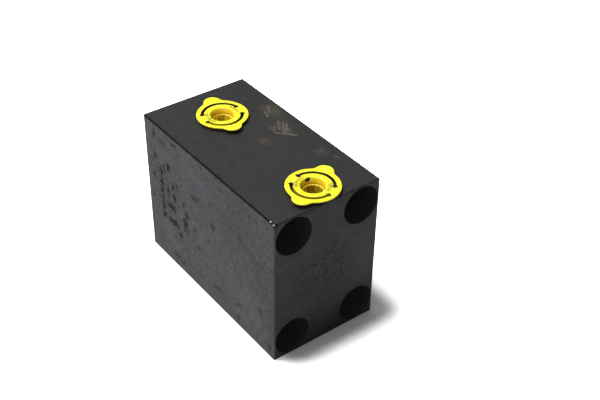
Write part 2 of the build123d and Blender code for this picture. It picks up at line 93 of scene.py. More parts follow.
# ---------------------------------------------------------------- shader fields
class Field:
    """A shader node's output, used in arithmetic with numbers, tuples and other fields.

    Each operator adds one Math node, or one Vector Math node when the left side is a vector.
    """

    def __init__(self, tree, socket):
        self.tree = tree
        self.socket = socket
        self.is_vector = socket.type in ("VECTOR", "RGBA")

    def combine(self, operation, *others):
        return (vector_calc if self.is_vector else calc)(operation, self, *others)

    def __add__(self, other):
        return self.combine("ADD", other)

    def __sub__(self, other):
        return self.combine("SUBTRACT", other)

    def __rsub__(self, other):
        return calc("SUBTRACT", other, self)

    def __mul__(self, other):
        if self.is_vector and not isinstance(other, tuple):
            return scaled(self, other)
        return self.combine("MULTIPLY", other)

    def __abs__(self):
        return self.combine("ABSOLUTE")

    def length(self):
        return vector_calc("LENGTH", self)

    def split(self):
        """The x, y and z of a vector."""
        parts = self.tree.nodes.new("ShaderNodeSeparateXYZ")
        put(parts.inputs[0], self)
        return [Field(self.tree, part) for part in parts.outputs]

    def rise(self, start, end):
        """0 at start, going smoothly to 1 at end, which may be the lower of the two."""
        return node(self.tree, "ShaderNodeMapRange",
                    {"Value": self, "From Min": start, "From Max": end},
                    interpolation_type="SMOOTHSTEP", clamp=True)

    def thin(self, mask):
        """This mask times another, kept within 0 to 1."""
        return calc("MULTIPLY", self, mask, use_clamp=True)

    def cover(self, coat, mask, amount=None):
        """This colour or number, replaced by coat where the mask, times amount, is 1."""
        return mix(mask if amount is None else mask * amount, self, coat)

    def noise(self, scale, detail=4.0, rough=0.55, distort=0.0, output="Fac"):
        inputs = {"Vector": self, "Scale": scale, "Detail": detail, "Roughness": rough,
                  "Distortion": distort}
        return node(self.tree, "ShaderNodeTexNoise", inputs, output)

    def drift(self, scale, reach, detail=4.0, rough=0.55):
        """A noisy offset of up to half of reach each way."""
        colour = self.noise(scale, detail, rough, output="Color")
        return (colour - (0.5, 0.5, 0.5)) * reach

    def cells(self, scale, feature="F1"):
        """Distance to the nearest Voronoi point, or to the nearest cell edge."""
        return node(self.tree, "ShaderNodeTexVoronoi", {"Vector": self, "Scale": scale},
                    "Distance", feature=feature)

    def blob(self, centre, size, core):
        """An ellipsoid of half sizes size: 0 outside, 1 within the fraction core of it."""
        offset = vector_calc("DIVIDE", self - centre, size)
        return offset.length().rise(1.0, core)

    def line(self, start, end, half_width):
        """1 on a straight segment, fading to 0 at half_width."""
        start = Vector(start)
        run = Vector(end) - start
        offset = self - tuple(start)
        along = vector_calc("DOT_PRODUCT", offset, tuple(run)) * (1.0 / run.length_squared)
        along = smallest(largest(along, 0.0), 1.0)
        away = vector_calc("DISTANCE", offset, scaled(tuple(run), along))
        return away.rise(half_width, half_width * 0.25)


def put(socket, value):
    """Links a field to an input, or sets the input's own value."""
    if isinstance(value, Field):
        value.tree.links.new(value.socket, socket)
    elif socket.type == "RGBA" and len(value) == 3:
        socket.default_value = (*value, 1.0)
    else:
        socket.default_value = value


def node(tree, kind, inputs=(), output=0, **settings):
    """Adds a node; inputs pairs socket names or numbers with values. Gives one of its outputs."""
    made = tree.nodes.new(kind)
    for name, value in settings.items():
        setattr(made, name, value)
    for key, value in dict(inputs).items():
        put(made.inputs[key], value)
    return Field(tree, made.outputs[output])


def tree_of(*values):
    return next(value.tree for value in values if isinstance(value, Field))


def calc(operation, *terms, use_clamp=False):
    return node(tree_of(*terms), "ShaderNodeMath", enumerate(terms),
                operation=operation, use_clamp=use_clamp)


def vector_calc(operation, *terms):
    output = "Value" if operation in ("LENGTH", "DISTANCE", "DOT_PRODUCT") else 0
    return node(tree_of(*terms), "ShaderNodeVectorMath", enumerate(terms), output,
                operation=operation)


def scaled(vector, factor):
    return node(tree_of(vector, factor), "ShaderNodeVectorMath", {0: vector, 3: factor},
                operation="SCALE")


def largest(*terms):
    return reduce(lambda first, second: calc("MAXIMUM", first, second), terms)


def smallest(*terms):
    return reduce(lambda first, second: calc("MINIMUM", first, second), terms)


def mix(share, first, second):
    """first where share is 0 and second where it is 1, as numbers or as colours."""
    is_colour = any(isinstance(end, tuple) or getattr(end, "is_vector", False)
                    for end in (first, second))
    kind, slot, output = ("RGBA", 6, 2) if is_colour else ("FLOAT", 2, 0)
    return node(tree_of(share, first, second), "ShaderNodeMix",
                {0: share, slot: first, slot + 1: second}, output,
                data_type=kind, clamp_factor=True)


def position(tree):
    """Object coordinates in millimetres."""
    return node(tree, "ShaderNodeTexCoord", output="Object") * MM


def normal(tree):
    return node(tree, "ShaderNodeNewGeometry", output="True Normal")


def edge(tree, radius, samples=6):
    """A mask that rises to 1 where the surface turns within radius, and the rounded normal."""
    rounded = node(tree, "ShaderNodeBevel", {"Radius": radius / MM}, samples=samples)
    shaded = node(tree, "ShaderNodeNewGeometry", output="Normal")
    return vector_calc("DOT_PRODUCT", rounded, shaded).rise(0.995, 0.80), rounded


def occlusion(tree, distance, samples=6):
    return node(tree, "ShaderNodeAmbientOcclusion", {"Distance": distance / MM}, "AO",
                samples=samples)


def bump(height, strength, distance, **base):
    """A bumped normal; base may give the Normal it starts from."""
    inputs = {"Strength": strength, "Distance": distance / MM, "Height": height, **base}
    return node(height.tree, "ShaderNodeBump", inputs)


def new_material(name):
    """An empty node material and its tree."""
    material = bpy.data.materials.new(name)
    material.use_nodes = True
    material.node_tree.nodes.clear()
    return material, material.node_tree


def principled(tree, inputs):
    """Makes a Principled shader the tree's surface."""
    shader = node(tree, "ShaderNodeBsdfPrincipled", inputs)
    put(tree.nodes.new("ShaderNodeOutputMaterial").inputs["Surface"], shader)


# ---------------------------------------------------------------- black phosphated steel
DULL_STOPS = ((0.10, 0.62), (0.5, 1.0), (0.9, 1.50))
# Each face's mean colour, and its ramp as (tone, brightness) stops; the brightness that differs
# from face to face is painted light and shade
FACE_LIT_TONES = {
    "top": ((0.0140, 0.0140, 0.0138), ((0.10, 0.66), (0.5, 1.0), (0.9, 1.45))),
    "left": ((0.0222, 0.0221, 0.0231), ((0.0, 0.38), (0.5, 1.0), (1.0, 1.75))),
    "front": ((0.0100, 0.0100, 0.0108), DULL_STOPS),
    "rest": ((0.0185, 0.0185, 0.0190), DULL_STOPS),
}
# Bluish sheen patches: centre, half sizes
SHEEN = [((-HALF_X, -52.0, 24.0), (6.0, 12.0, 14.0)),
         ((-HALF_X, -90.0, -31.0), (6.0, 18.0, 9.0)),
         ((-HALF_X, -14.0, 27.0), (6.0, 9.0, 9.0)),
         ((-HALF_X, -104.0, 30.0), (6.0, 9.0, 9.0)),
         ((25.0, -LENGTH, 0.0), (8.0, 6.0, 24.0))]
# Stains on the left side: from the rear face, below the top, half length, half height
DARK_STAINS = [
    (14.0, 27.0, 1.9, 3.0), (14.3, 33.0, 1.6, 2.6), (14.0, 38.0, 1.7, 3.0), (14.5, 43.5, 1.6, 2.8),
    (14.3, 48.5, 1.8, 2.4), (14.6, 53.5, 1.9, 2.6), (21.5, 20.5, 2.3, 2.6), (25.0, 31.0, 1.6, 2.2),
    (26.0, 37.0, 1.7, 2.5), (22.0, 44.5, 4.6, 2.0), (23.5, 53.5, 5.8, 2.3), (34.6, 47.0, 2.2, 2.6),
    (34.8, 51.5, 1.9, 1.9), (44.5, 26.0, 3.2, 1.5), (48.0, 24.2, 1.9, 1.1), (63.0, 70.0, 4.4, 1.9),
    (82.0, 68.0, 3.2, 1.9), (81.0, 76.5, 2.0, 1.9), (107.0, 76.5, 2.2, 3.2), (83.5, 24.0, 1.1, 1.3),
    (97.0, 31.0, 1.4, 0.8), (92.5, 8.0, 0.5, 2.4), (47.0, 55.0, 1.8, 1.8), (42.5, 51.0, 1.5, 1.8),
    (24.5, 74.5, 3.4, 2.6), (44.0, 45.5, 2.2, 2.0), (28.5, 28.0, 1.6, 2.2), (20.0, 35.5, 1.3, 2.4),
    (17.5, 23.5, 1.2, 2.2), (30.0, 58.0, 2.0, 1.6), (61.0, 33.0, 2.2, 1.6), (56.0, 44.0, 1.8, 1.5),
    (9.0, 20.0, 1.2, 2.6), (7.0, 33.0, 1.0, 2.6), (70.0, 20.0, 1.6, 1.2), (17.0, 8.0, 2.6, 1.1),
    (28.0, 4.0, 2.6, 1.0), (52.0, 3.0, 3.0, 0.9), (69.0, 6.0, 2.0, 1.0), (100.0, 58.0, 1.6, 1.6)]
RUST_STAINS = [
    (37.0, 41.5, 3.1, 5.0), (36.0, 47.0, 2.9, 4.4), (34.5, 36.0, 1.6, 3.4), (38.5, 51.5, 1.6, 3.0),
    (9.5, 6.5, 1.7, 3.6), (4.6, 46.0, 2.0, 2.8), (66.5, 0.9, 5.0, 1.1), (31.0, 76.0, 3.0, 1.6)]
# Stains on the top: from the rear face, from the left edge, half length, half width
TOP_STAINS = [
    (35.0, 53.5, 8.0, 5.5), (52.5, 49.0, 8.5, 3.4), (78.0, 51.0, 4.5, 4.0), (32.0, 56.5, 5.0, 2.0),
    (49.0, 44.0, 5.0, 2.0), (55.5, 34.5, 4.5, 3.5), (86.0, 54.5, 2.4, 1.6)]
# Scrapes on the top: two ends, each from the rear face and from the left edge
SCRAPES = [((47.0, 51.5), (55.5, 46.5)), ((48.2, 52.8), (57.0, 47.4)),
           ((56.0, 46.0), (52.0, 43.2)), ((57.5, 47.8), (54.0, 44.6)),
           ((58.6, 49.2), (55.4, 46.0)), ((50.0, 44.0), (47.5, 46.5)),
           ((33.5, 50.5), (38.5, 48.5)), ((30.5, 54.5), (36.0, 51.8)),
           ((44.0, 50.8), (50.5, 47.0)), ((60.5, 50.5), (57.8, 48.0))]


def side_point(from_rear, below_top):
    return (-HALF_X, -from_rear, HALF_Z - below_top)


def top_point(from_rear, from_left):
    return (-HALF_X + from_left, -from_rear, HALF_Z)


def shade(face, brightness):
    return tuple(brightness * part for part in FACE_LIT_TONES[face][0])


def lit_face_colour(face, tone):
    """The face's colour ramp, read at tone; its brightness for each face is painted light and
    shade.
    """
    ramp = tone.tree.nodes.new("ShaderNodeValToRGB")
    put(ramp.inputs[0], tone)
    elements = ramp.color_ramp.elements
    elements.new(0.5)
    for element, (place, brightness) in zip(elements, FACE_LIT_TONES[face][1]):
        element.position = place
        element.color = (*shade(face, brightness), 1.0)
    return Field(tone.tree, ramp.outputs[0])


def block_site(tree):
    """Where a shaded point lies on the block; the later steps add their masks to it."""
    pos = position(tree)
    x, y, z = pos.split()
    normal_x, normal_y, normal_z = normal(tree).split()
    site = SimpleNamespace(pos=pos, x=x, y=y, z=z, normal_z=normal_z)
    site.top = normal_z.rise(0.8, 0.97)
    site.left = normal_x.rise(-0.8, -0.97)
    site.front = normal_y.rise(-0.8, -0.97)
    site.flat = largest(abs(normal_x), abs(normal_y), abs(normal_z))

    # depth under the outer skin: holes and bores are deeper than the edge break
    in_x = HALF_X - abs(x)
    in_y = LENGTH / 2 - abs(y + LENGTH / 2)
    site.in_z = HALF_Z - abs(z)
    depth = smallest(in_x, in_y, site.in_z)
    from_screw = (abs(pos * (1.0, 0.0, 1.0)) - (SCREW_X, 0.0, SCREW_Z)).length()
    in_screw_hole = (from_screw.rise(10.25, 10.05) * (y + LENGTH).rise(0.05, 0.35)
                     * (y + LENGTH).rise(17.0, 15.0))
    site.inside = largest(depth.rise(0.52, 1.1), in_screw_hole)
    # distance from the nearest arris, for a point on one of the six faces
    site.from_arris = largest(smallest(in_x, in_y), smallest(largest(in_x, in_y), site.in_z))
    return site


def block_textures(site):
    """Grain of the phosphate, and the tool lines under it."""
    pos = site.pos
    site.mid = (pos * (1.0, 1.0, 0.75)).noise(0.22, detail=6.0, rough=0.62, distort=0.3)
    site.fine = pos.noise(1.3, detail=5.0, rough=0.72)
    site.grain = pos.noise(4.6, detail=3.0, rough=0.65)
    site.speck = (pos + (17.0, 3.0, 11.0)).noise(0.95, rough=0.75).rise(0.565, 0.66)
    # ground along the length on the top, and with stretched lines on the left side
    site.ground = (pos * (5.5, 0.10, 5.5)).noise(1.0, detail=3.0, rough=0.65)
    site.side_grind = (pos * (1.0, 3.2, 0.30)).noise(1.0, rough=0.7)
    # faint turned arcs on the front, about a point near its middle
    centred = pos - (-0.5, 0.0, 1.5)
    site.radius = (centred * (1.0, 0.0, 1.0)).length()
    wander = (pos * (0.10, 0.10, 0.10)).noise(1.0, detail=2.0, rough=0.5)
    rings = calc("SINE", (site.radius + wander * 5.0) * 2.1)
    broken = pos.noise(0.45, detail=5.0, rough=0.75).rise(0.46, 0.62)
    site.rings = rings * site.radius.rise(17.0, 7.0) * (site.front * broken)


def block_tone(site):
    """Light and dark of the coating, about 0.5; the left side is the most uneven."""
    pos, left = site.pos, site.left
    slow = pos.noise(0.040, detail=3.0, rough=0.55, distort=0.4)
    tone = mix(0.5, slow, site.mid)
    tone = (tone - 0.5) * mix(left, 1.0, 1.35) + 0.5
    # texture, face it is stronger on, weight elsewhere and on that face
    for texture, face, elsewhere, there in ((site.fine, left, 1.15, 1.95),
                                            (site.grain, left, 0.75, 1.20),
                                            (site.ground, site.top, 0.08, 0.22)):
        tone += (texture - 0.5) * mix(face, elsewhere, there)
    tone += (site.side_grind - 0.5) * 0.45 * left
    tone -= site.speck * mix(left, 0.16, 0.42)
    pale = (pos + (5.0, 13.0, 29.0)).noise(0.80, rough=0.75).rise(0.575, 0.67)
    tone += pale * mix(left, 0.14, 0.26)
    tone -= site.rings * 0.30
    blotch = (pos + (71.0, 23.0, 5.0)).noise(0.42, detail=5.0, rough=0.68, distort=0.6)
    tone += (blotch - 0.5) * mix(left, 0.70, 1.35)
    salt = (pos + pos.noise(2.0, detail=2.0, output="Color") * 0.5).cells(1.35)
    return tone - salt.rise(0.30, 0.10) * mix(left, 0.16, 0.42)


def front_marks(site, colour):
    """The front face: painted shade darkening it towards the bottom, scuffed around its middle."""
    pos, front, radius = site.pos, site.front, site.radius
    # painted shade: the front face darker towards the bottom
    foot_shade = front * (site.z + (site.mid - 0.5) * 14.0).rise(-10.0, -37.0)
    colour = colour.cover(shade("front", 0.14), foot_shade, amount=0.66)
    patches = (pos + (9.0, 0.0, 4.0)).noise(0.42, detail=6.0, rough=0.78).rise(0.46, 0.58)
    site.scuff = front * (radius + (site.mid - 0.5) * 22.0).rise(23.0, 6.0) * patches
    colour = colour.cover((0.0050, 0.0050, 0.0044), site.scuff, amount=0.80)
    patches = (pos + (2.0, 0.0, 19.0)).noise(0.60, detail=6.0, rough=0.80).rise(0.55, 0.68)
    pale_scuff = front * radius.rise(22.0, 4.0) * patches
    return colour.cover((0.0250, 0.0250, 0.0250), pale_scuff, amount=0.55)


def sheen_patches(site, colour):
    """Bluish patches on the left side and the front, and a greenish one on the front."""
    pos = site.pos
    bands = (pos * (0.1, 0.1, 1.0)).noise(0.5, detail=2.0).rise(0.4, 0.6)
    banded = pos.blob((-26.0, -LENGTH, 6.0), (9.0, 6.0, 12.0), core=0.1) * bands
    blue = largest(*(pos.blob(centre, size, core=0.1) for centre, size in SHEEN), banded)
    blues = mix(site.left, (0.018, 0.020, 0.029), (0.029, 0.032, 0.046))
    colour = colour.cover(blues, blue, amount=0.34)
    green = pos.blob((-24.0, -LENGTH, 15.0), (9.0, 6.0, 5.0), core=0.1)
    return colour.cover((0.019, 0.026, 0.028), green, amount=0.35)


def block_stains(site, colour):
    """Handling dirt and rust on the left side and the top."""
    pos = site.pos
    site.warp = pos.drift(0.42, reach=6.0, rough=0.6)
    ragged = pos + site.warp + pos.drift(1.9, reach=3.6, rough=0.7)
    site.patchy = pos.noise(0.55, detail=6.0, rough=0.72).rise(0.42, 0.60)
    site.patchy_fine = (pos + (31.0, 7.0, 3.0)).noise(0.8, detail=5.0, rough=0.75).rise(0.46, 0.60)

    def dark_stain(from_rear, below_top, half_length, half_height):
        """Those low down or forward are fainter."""
        size = (4.0, half_length * 1.30, half_height * 1.30)
        strength = 1.0 if from_rear < 40.0 and below_top < 60.0 else 0.50
        return ragged.blob(side_point(from_rear, below_top), size, core=0.35) * strength

    broken = pos.noise(0.9, detail=5.0, rough=0.75).rise(0.40, 0.54)
    dark = largest(*(dark_stain(*row) for row in DARK_STAINS))
    site.dark = dark.thin(mix(0.62, broken, 1.0))
    browns = mix(site.patchy_fine, (0.0052, 0.0050, 0.0046), (0.0130, 0.0118, 0.0070))
    colour = colour.cover(browns, site.dark, amount=0.95)

    # a darker, blotchy cast over the rear upper part of the left side
    blotches = (pos + (3.0, 41.0, 9.0)).noise(0.26, detail=6.0, rough=0.72).rise(0.50, 0.64)
    site.cast = ragged.blob(side_point(18.0, 30.0), (6.0, 34.0, 46.0), core=0.0) * blotches
    colour = colour.cover((0.0110, 0.0104, 0.0100), site.cast, amount=0.42)

    rust = largest(*(ragged.blob(side_point(from_rear, below_top), (4.0, *half_sizes), core=0.2)
                     for from_rear, below_top, *half_sizes in RUST_STAINS))
    site.rust = rust.thin(mix(0.5, site.patchy_fine, 1.0))
    colour = colour.cover((0.0215, 0.0100, 0.0088), site.rust, amount=0.90)

    lid = largest(*(ragged.blob(top_point(from_rear, from_left),
                                (half_width * 1.15, half_length * 1.15, 4.0), core=0.25)
                    for from_rear, from_left, half_length, half_width in TOP_STAINS))
    crust = (pos.noise(0.70, detail=7.0, rough=0.80).rise(0.43, 0.55)
             * (pos + (6.0, 6.0, 1.0)).noise(1.7, detail=5.0, rough=0.8).rise(0.36, 0.56))
    site.lid = lid.thin(crust)
    rusts = mix(pos.noise(0.30, detail=2.0), (0.086, 0.056, 0.036), (0.062, 0.057, 0.038))
    colour = colour.cover(rusts, site.lid, amount=0.85)
    haze = ragged.blob(top_point(40.0, 52.0), (9.0, 18.0, 4.0), core=0.0)
    return colour.cover((0.040, 0.036, 0.029), haze, amount=0.26)


def other_face_marks(site, colour):
    """Storage marks on the right side, the rear and the underside."""
    pos = site.pos
    other = 1.0 - largest(site.top, site.left, site.front)
    bloom = (pos + (50.0, 14.0, 33.0)).noise(0.085, detail=7.0, rough=0.70, distort=0.5)
    bloom = bloom.rise(0.57, 0.66).thin(other) * mix(0.5, site.patchy, 1.0)
    browns = mix(site.patchy_fine, (0.0075, 0.0070, 0.0062), (0.0150, 0.0125, 0.0080))
    colour = colour.cover(browns, bloom, amount=0.62)
    rusty = (pos + (8.0, 90.0, 61.0)).noise(0.20, detail=7.0, rough=0.74)
    rusty = rusty.rise(0.63, 0.71).thin(other)
    colour = colour.cover((0.0340, 0.0185, 0.0125), rusty, amount=0.60)
    rub = ((pos + (4.0, 4.0, 4.0)) * (0.16, 0.035, 0.30)).noise(1.0, detail=5.0, rough=0.6)
    return colour.cover((0.040, 0.040, 0.042), rub.rise(0.60, 0.72).thin(other), amount=0.30)


def block_scratches(site, colour):
    """Broken light scrapes on the top, and thin random scratches everywhere."""
    pos = site.pos
    wobbly = pos + pos.drift(0.8, reach=2.4)
    scrape = largest(*(wobbly.line(top_point(*start), top_point(*end), half_width=0.85)
                       for start, end in SCRAPES))
    scrape = scrape.thin(pos.noise(1.5, rough=0.75).rise(0.40, 0.56))
    scraped = mix(pos.noise(0.5, detail=2.0), (0.125, 0.085, 0.060), (0.110, 0.108, 0.102))
    colour = colour.cover(scraped, scrape, amount=0.72)
    # cell edges: stretch of the cells, distances where a scratch begins and is full
    lines = [((pos + site.warp * 0.25) * stretch).cells(1.0, "DISTANCE_TO_EDGE").rise(begin, full)
             for stretch, begin, full in (((0.55, 0.045, 0.16), 0.010, 0.003),
                                          ((0.07, 0.30, 0.06), 0.008, 0.002))]
    site.scratch = largest(*lines).thin(pos.noise(0.09, detail=3.0).rise(0.50, 0.62))
    return colour.cover((0.060, 0.060, 0.063), site.scratch, amount=0.22)


def block_edges(site, colour, rim):
    """Arrises hold a darker line of coating, with metal rubbed bare in places."""
    outer = 1.0 - site.inside
    slant = site.flat.rise(0.97, 0.88)
    lip = site.from_arris + (site.mid - 0.5) * 0.9
    top_left = largest(site.x + HALF_X, HALF_Z - site.z).rise(2.2, 1.6)
    top_front = largest(site.y + LENGTH, HALF_Z - site.z).rise(2.2, 1.6)
    brink = lip.rise(mix(top_left, 0.75, 1.00), mix(top_left, 0.25, 0.55)) * outer
    # strongest on the top left arris, then the top front one, weakest on the uprights
    upright = site.in_z.rise(1.2, 2.2)
    elsewhere = mix(top_front, mix(upright, 0.55, 0.15), 0.42)
    site.brink = brink * mix(top_left, elsewhere, 1.0)
    upright_edge = abs(site.normal_z).rise(0.30, 0.12) * slant
    worn = site.pos.noise(0.50, detail=6.0, rough=0.75).rise(0.56, 0.70)
    site.rubbed = (rim * outer).thin(worn)
    colour = colour.cover((0.0045, 0.0045, 0.0047), site.brink, amount=0.88)
    colour = colour.cover((0.034, 0.034, 0.035), upright_edge * outer, amount=0.6)
    colour = colour.cover((0.110, 0.110, 0.113), site.rubbed, amount=0.45)
    site.nick = largest(*((site.pos + site.warp * 0.05).blob(centre, size, core=0.6)
                          for centre, size in NICKS))
    return colour.cover((0.27, 0.27, 0.28), site.nick)


def block_roughness(site, tone):
    """Matt coating, smoother where rubbed, duller where stained and in the holes."""
    rough = mix(tone, 0.66, 0.50)
    rough = rough.cover(0.78, site.dark, amount=0.7)
    rough = rough.cover(0.85, largest(site.lid, site.rust))
    rough = rough.cover(0.34, largest(site.rubbed, site.nick))
    return rough.cover(0.95, site.inside)


def block_specular(site):
    """Weak shine, less on the dark lines and stains, nearly none in the holes."""
    specular = mix(site.inside, 0.21, 0.01) * (1.0 - site.brink * 0.8)
    dull = largest(site.dark, site.rust, site.cast * 0.35, site.speck * (site.left * 0.75),
                   site.scuff * 0.36)
    return specular * (1.0 - dull * 0.92)


def block_material():
    material, tree = new_material("phosphated_steel")
    site = block_site(tree)
    block_textures(site)
    tone = block_tone(site)
    colour = lit_face_colour("rest", tone)
    # each face gets its own ramp: painted light and shade, one brightness per face
    for face in ("left", "top", "front"):
        colour = colour.cover(lit_face_colour(face, tone), getattr(site, face))
    for add_marks in (front_marks, sheen_patches, block_stains, other_face_marks,
                      block_scratches):
        colour = add_marks(site, colour)
    rim, round_normal = edge(tree, 0.50)
    colour = block_edges(site, colour, rim)
    # painted shade: darker inside every hole
    hole_shade = mix(site.pos.noise(0.5), (0.0070, 0.0070, 0.0072), (0.0115, 0.0115, 0.0120))
    colour = colour.cover(hole_shade, site.inside)

    height = (site.grain * 0.35 + site.fine * 0.35
              + site.pos.cells(3.0) * 0.25
              + site.ground * mix(site.top, 0.20, 0.40)
              + site.side_grind * (site.left * 0.45)
              - site.scratch * 0.5
              - site.nick * 2.0
              + site.lid * 0.35
              + site.dark * 0.20)
    principled(tree, {
        "Base Color": colour,
        "Roughness": block_roughness(site, tone),
        "Metallic": largest(site.rubbed * 0.6, site.nick) * 0.9,
        "Specular IOR Level": block_specular(site),
        "Normal": bump(height, strength=0.55, distance=0.045, Normal=round_normal),
        # stands in for light scattered by the oil film deep in the holes
        "Emission Color": (1.0, 1.0, 1.02),
        "Emission Strength": site.inside * 0.0022,
    })
    return material


# ---------------------------------------------------------------- yellow polyethylene
def tick_shade_and_dirt(angle):
    """1 beside each tick of the two runs, less on the ticks themselves: painted shadow of the
    raised ticks, and dirt.
    """
    marks = []
    step = math.radians(TICK_STEP)
    for first, last in TICKS:
        centre = math.radians((first + last) / 2)
        half = math.radians((last - first) / 2 + 3.0)
        turned = calc("WRAP", angle - centre, math.pi, -math.pi)
        within = abs(turned).rise(half + 0.03, half - 0.03)
        phase = calc("PINGPONG", turned + math.radians((last - first) / 2), step / 2)
        beside = (phase * 7.7).rise(0.12, 0.30)               # 7.7 mm: radius of the ticks
        marks.append(within * mix(0.45, beside, 1.0))
    return largest(*marks)


def plug_material(name, port, ear, dirt, depth_tone):
    """The plugs' plastic, placed by z above the port's mouth and radius from its axis.

    dirt lists dark spots as (centre, half sizes); depth_tone is the brightness deep in the cup.
    """
    material, tree = new_material(name)
    pos = position(tree) - tuple(port * MM)
    x, y, z = pos.split()
    radius = (pos * (1.0, 1.0, 0.0)).length()
    fine = pos.noise(2.2, rough=0.6)
    colour = mix(pos.noise(0.14, detail=3.0, rough=0.5).rise(0.3, 0.7),
                 (0.655, 0.620, 0.009), (0.735, 0.700, 0.018))
    mottle = pos.noise(0.75, rough=0.65).rise(0.38, 0.62)
    colour = colour.cover((0.50, 0.455, 0.010), mottle, amount=0.16)
    colour = colour.cover((0.56, 0.50, 0.05), fine - 0.5, amount=0.6)

    # a shade deeper around the hole; painted shade down in the cup, more orange, and darker on its
    # left wall, turned from the light
    hub = radius.rise(9.3, 8.7) * radius.rise(5.9, 6.4)
    colour = colour.cover((0.52, 0.475, 0.014), hub, amount=0.55)
    cup = z.rise(1.9, 0.6) * radius.rise(6.6, 6.1)
    orange = mix(x.rise(4.0, -4.0), (0.59, 0.345, 0.009), (0.46, 0.240, 0.006))
    colour = colour.cover(orange, cup, amount=0.92)
    ledge_highlight = z.rise(-1.00, -1.15) * (z.rise(-1.55, -1.35) * radius.rise(4.75, 4.85))
    deep = z.rise(-1.3, -2.2) * radius.rise(5.2, 5.0)
    streak = (pos * (0.8, 0.8, 0.08)).noise(1.0, detail=3.0).rise(0.36, 0.62)
    streaks = mix(streak, tuple(depth_tone * part for part in (0.30, 0.210, 0.004)),
                  tuple(depth_tone * part for part in (0.74, 0.60, 0.036)))
    colour = colour.cover(streaks, deep, amount=0.95)
    # painted highlight on the step in the bore
    colour = colour.cover((0.84, 0.70, 0.05), ledge_highlight, amount=0.6)

    # painted shadow of the raised ticks beside the hole, with dirt caught around them
    angle = calc("ARCTAN2", y, x) - ear
    halo = radius.rise(6.75, 7.05) * radius.rise(8.60, 8.30)
    on_top = abs(z - 2.1).rise(0.35, 0.20)
    patches = pos.noise(0.8, rough=0.7).rise(0.34, 0.56)
    tick_shade_and_grit = tick_shade_and_dirt(angle) * halo * (on_top * patches)
    colour = colour.cover((0.150, 0.080, 0.005), tick_shade_and_grit, amount=0.86)

    # slots: painted shade on their walls, along the outer brim of the far slot and in the ends
    face_up = normal(tree).split()[2]
    off_slot = abs(radius - SLOT_RADIUS)
    half_turn = abs(calc("WRAP", angle, math.pi / 2, -math.pi / 2))
    along = half_turn.rise(math.radians(SLOT_HALF + 5.0), math.radians(SLOT_HALF + 2.0))
    outward = (radius - SLOT_RADIUS).rise(-0.25, 0.25)
    slot_wall_shade = off_slot.rise(1.25, 1.05) * (along * face_up.rise(0.92, 0.55))
    slot_wall_shade = slot_wall_shade * mix(outward, 0.55, 1.0)
    far_verge_shade = along * (off_slot + (fine - 0.5) * 0.5).rise(1.10, 0.80) * z.rise(2.4, 2.2)
    far_verge_shade = far_verge_shade * (outward * y.rise(-3.0, 3.0))
    end_angles = [ear + math.radians(middle + turn * SLOT_HALF)
                  for middle in (0.0, 180.0) for turn in (1, -1)]
    ends = largest(*(pos.blob((SLOT_RADIUS * math.cos(end), SLOT_RADIUS * math.sin(end), 1.9),
                              (1.45, 1.45, 1.2), core=0.68) for end in end_angles))
    colour = colour.cover((0.10, 0.065, 0.004), far_verge_shade, amount=0.55)
    colour = colour.cover((0.020, 0.014, 0.003), ends, amount=0.80)
    colour = colour.cover((0.045, 0.030, 0.003), slot_wall_shade, amount=0.90)

    # painted shade and dirt in the corners, painted shade under the flange, smears on the ears,
    # specks, painted shade on the rim's side walls
    # painted shade and dirt where ambient occlusion finds corners
    open_sky = occlusion(tree, 1.3)
    corner_shade_and_grime = open_sky.rise(0.80, 0.35) * pos.noise(0.9, detail=5.0, rough=0.7).rise(0.35, 0.65)
    colour = colour.cover((0.30, 0.18, 0.010), corner_shade_and_grime, amount=0.60)
    # painted shade under the flange
    under = z.rise(1.75, 1.35) * radius.rise(8.6, 9.0)
    colour = colour.cover((0.22, 0.16, 0.008), under, amount=0.75)
    patches = pos.noise(0.55, detail=5.0, rough=0.7).rise(0.50, 0.68)
    colour = colour.cover((0.70, 0.48, 0.03), radius.rise(12.6, 14.8) * patches, amount=0.30)
    specks = pos.cells(0.75).rise(0.13, 0.07) * pos.noise(0.33, detail=2.0).rise(0.54, 0.62)
    colour = colour.cover((0.28, 0.18, 0.02), specks, amount=0.55)
    # painted shade on the flange's side walls
    rim_shade = (radius + (fine - 0.5) * 0.8).rise(12.4, 13.0) * face_up.rise(0.95, 0.60)
    colour = colour.cover((0.30, 0.185, 0.010), rim_shade, amount=0.55)
    shade_and_dirt_masks = [corner_shade_and_grime, tick_shade_and_grit]
    if dirt:
        spot = largest(*((pos + pos.drift(0.9, reach=0.8, detail=3.0)).blob(*place, core=0.65)
                         for place in dirt))
        colour = colour.cover((0.012, 0.009, 0.006), spot)
        shade_and_dirt_masks.append(spot)

    flow = (pos * (0.25, 0.25, 0.25)).noise(1.0, detail=2.0, rough=0.4)
    height = fine * 0.5 + flow * 1.6 + pos.noise(7.0, detail=2.0) * 0.2
    principled(tree, {
        "Base Color": colour,
        "Roughness": mix(fine, 0.38, 0.54).cover(0.75, largest(*shade_and_dirt_masks)),
        "Specular IOR Level": 0.30,
        "Normal": bump(height, strength=0.35, distance=0.06),
        "Subsurface Weight": mix(largest(cup, deep, under, far_verge_shade, slot_wall_shade, ends), 0.26, 0.05),
        "Subsurface Radius": (1.0, 0.75, 0.06),
        "Subsurface Scale": 0.0012,
    })
    return material


# ---------------------------------------------------------------- inner and rear parts
RINGS_Y = (0.25, 9.0, 0.25)                           # noise stretch for rings about y
RINGS_Z = (0.25, 0.25, 9.0)


